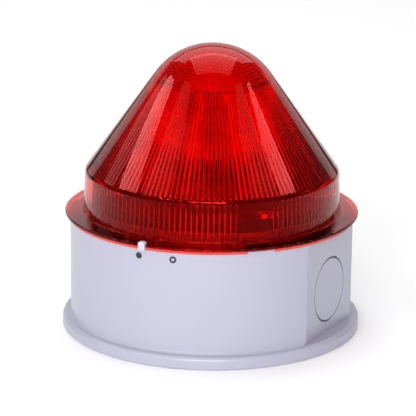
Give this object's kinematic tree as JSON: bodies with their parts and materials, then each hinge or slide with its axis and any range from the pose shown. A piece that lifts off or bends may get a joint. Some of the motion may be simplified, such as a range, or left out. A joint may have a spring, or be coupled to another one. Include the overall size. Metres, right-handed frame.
{
  "type": "alarm siren",
  "caption": "Round deep-base alarm sounder beacon with a conical red twist-lock lens, side knock-outs and a wall-fixing base.",
  "frame": {"origin": "centre of the mounting face on the underside of the base", "axes": "+Z out of the mounting surface along the axis of the lens, +X towards the side entry that the picture shows, -Y towards the locking marks"},
  "size_m": [0.096, 0.096, 0.0918],
  "materials": {
    "base_plastic": "satin moulded plastic",
    "mark_ink": "matt ink",
    "black_rubber": "matt",
    "red_lens": "clear, polished outside",
    "white_plastic": "satin",
    "dark_plastic": "fine textured",
    "screw_steel": "zinc plated",
    "board": "solder resist",
    "tube_glass": "clear",
    "bright_metal": "bright",
    "capacitor_sleeve": "shrink sleeve",
    "ferrite": "ground",
    "copper_winding": "enamelled wire",
    "chip_black": "matt moulded",
    "contact_gold": "gold flash",
    "terminal_green": "satin",
    "switch_red": "satin",
    "trimmer_blue": "satin",
    "disc_brass": "bright",
    "wire_red": "satin"
  },
  "bodies": {
    "base": {"base_housing": "base_plastic", "lock_mark": "mark_ink", "open_mark": "mark_ink", "lens_gasket": "black_rubber", "beacon_carrier": "dark_plastic", "carrier_screws": "screw_steel", "beacon_board": "board", "board_screws": "screw_steel", "tube_base": "white_plastic", "flash_tube": "tube_glass", "tube_electrodes": "bright_metal", "trigger_wire": "bright_metal", "storage_capacitor": "capacitor_sleeve", "inverter_core": "ferrite", "inverter_winding": "copper_winding", "trigger_coil": "copper_winding", "switching_transistor": "chip_black", "timer_chip": "chip_black", "beacon_resistors": "chip_black", "stacking_header": "chip_black", "header_pins": "contact_gold", "stacking_socket": "chip_black", "control_board": "board", "control_screws": "screw_steel", "terminal_block": "terminal_green", "terminal_screws": "screw_steel", "terminal_clamps": "bright_metal", "tone_switch": "switch_red", "volume_body": "trimmer_blue", "tone_chip": "chip_black", "booster_coil": "copper_winding", "filter_capacitors": "capacitor_sleeve", "input_diodes": "chip_black", "control_resistors": "chip_black", "sounder_case": "dark_plastic", "sounder_disc": "disc_brass", "sounder_gasket": "black_rubber", "sounder_screws": "screw_steel", "sounder_wires": "wire_red"},
    "lens": {"lens": "red_lens", "index_mark": "white_plastic"},
    "tone_lever_1": {"tone_lever_1": "white_plastic"},
    "tone_lever_2": {"tone_lever_2": "white_plastic"},
    "tone_lever_3": {"tone_lever_3": "white_plastic"},
    "tone_lever_4": {"tone_lever_4": "white_plastic"},
    "volume_rotor": {"volume_rotor": "white_plastic"}
  },
  "joints": [
    {"name": "lens_turn", "type": "hinge", "parent": "base", "child": "lens", "pos_m": [0, 0, 0.0374], "axis": [0, 0, 1], "range_deg": [0, 12]},
    {"name": "tone_lever_1_slide", "type": "slide", "parent": "base", "child": "tone_lever_1", "axis": [1, 0, 0], "range_m": [0, 0.0012]},
    {"name": "tone_lever_2_slide", "type": "slide", "parent": "base", "child": "tone_lever_2", "axis": [1, 0, 0], "range_m": [0, 0.0012]},
    {"name": "tone_lever_3_slide", "type": "slide", "parent": "base", "child": "tone_lever_3", "axis": [1, 0, 0], "range_m": [0, 0.0012]},
    {"name": "tone_lever_4_slide", "type": "slide", "parent": "base", "child": "tone_lever_4", "axis": [1, 0, 0], "range_m": [0, 0.0012]},
    {"name": "volume_turn", "type": "hinge", "parent": "base", "child": "volume_rotor", "pos_m": [0.0032, 0.0065, 0.0141], "axis": [0, 0, 1], "range_deg": [-130, 130]}
  ]
}
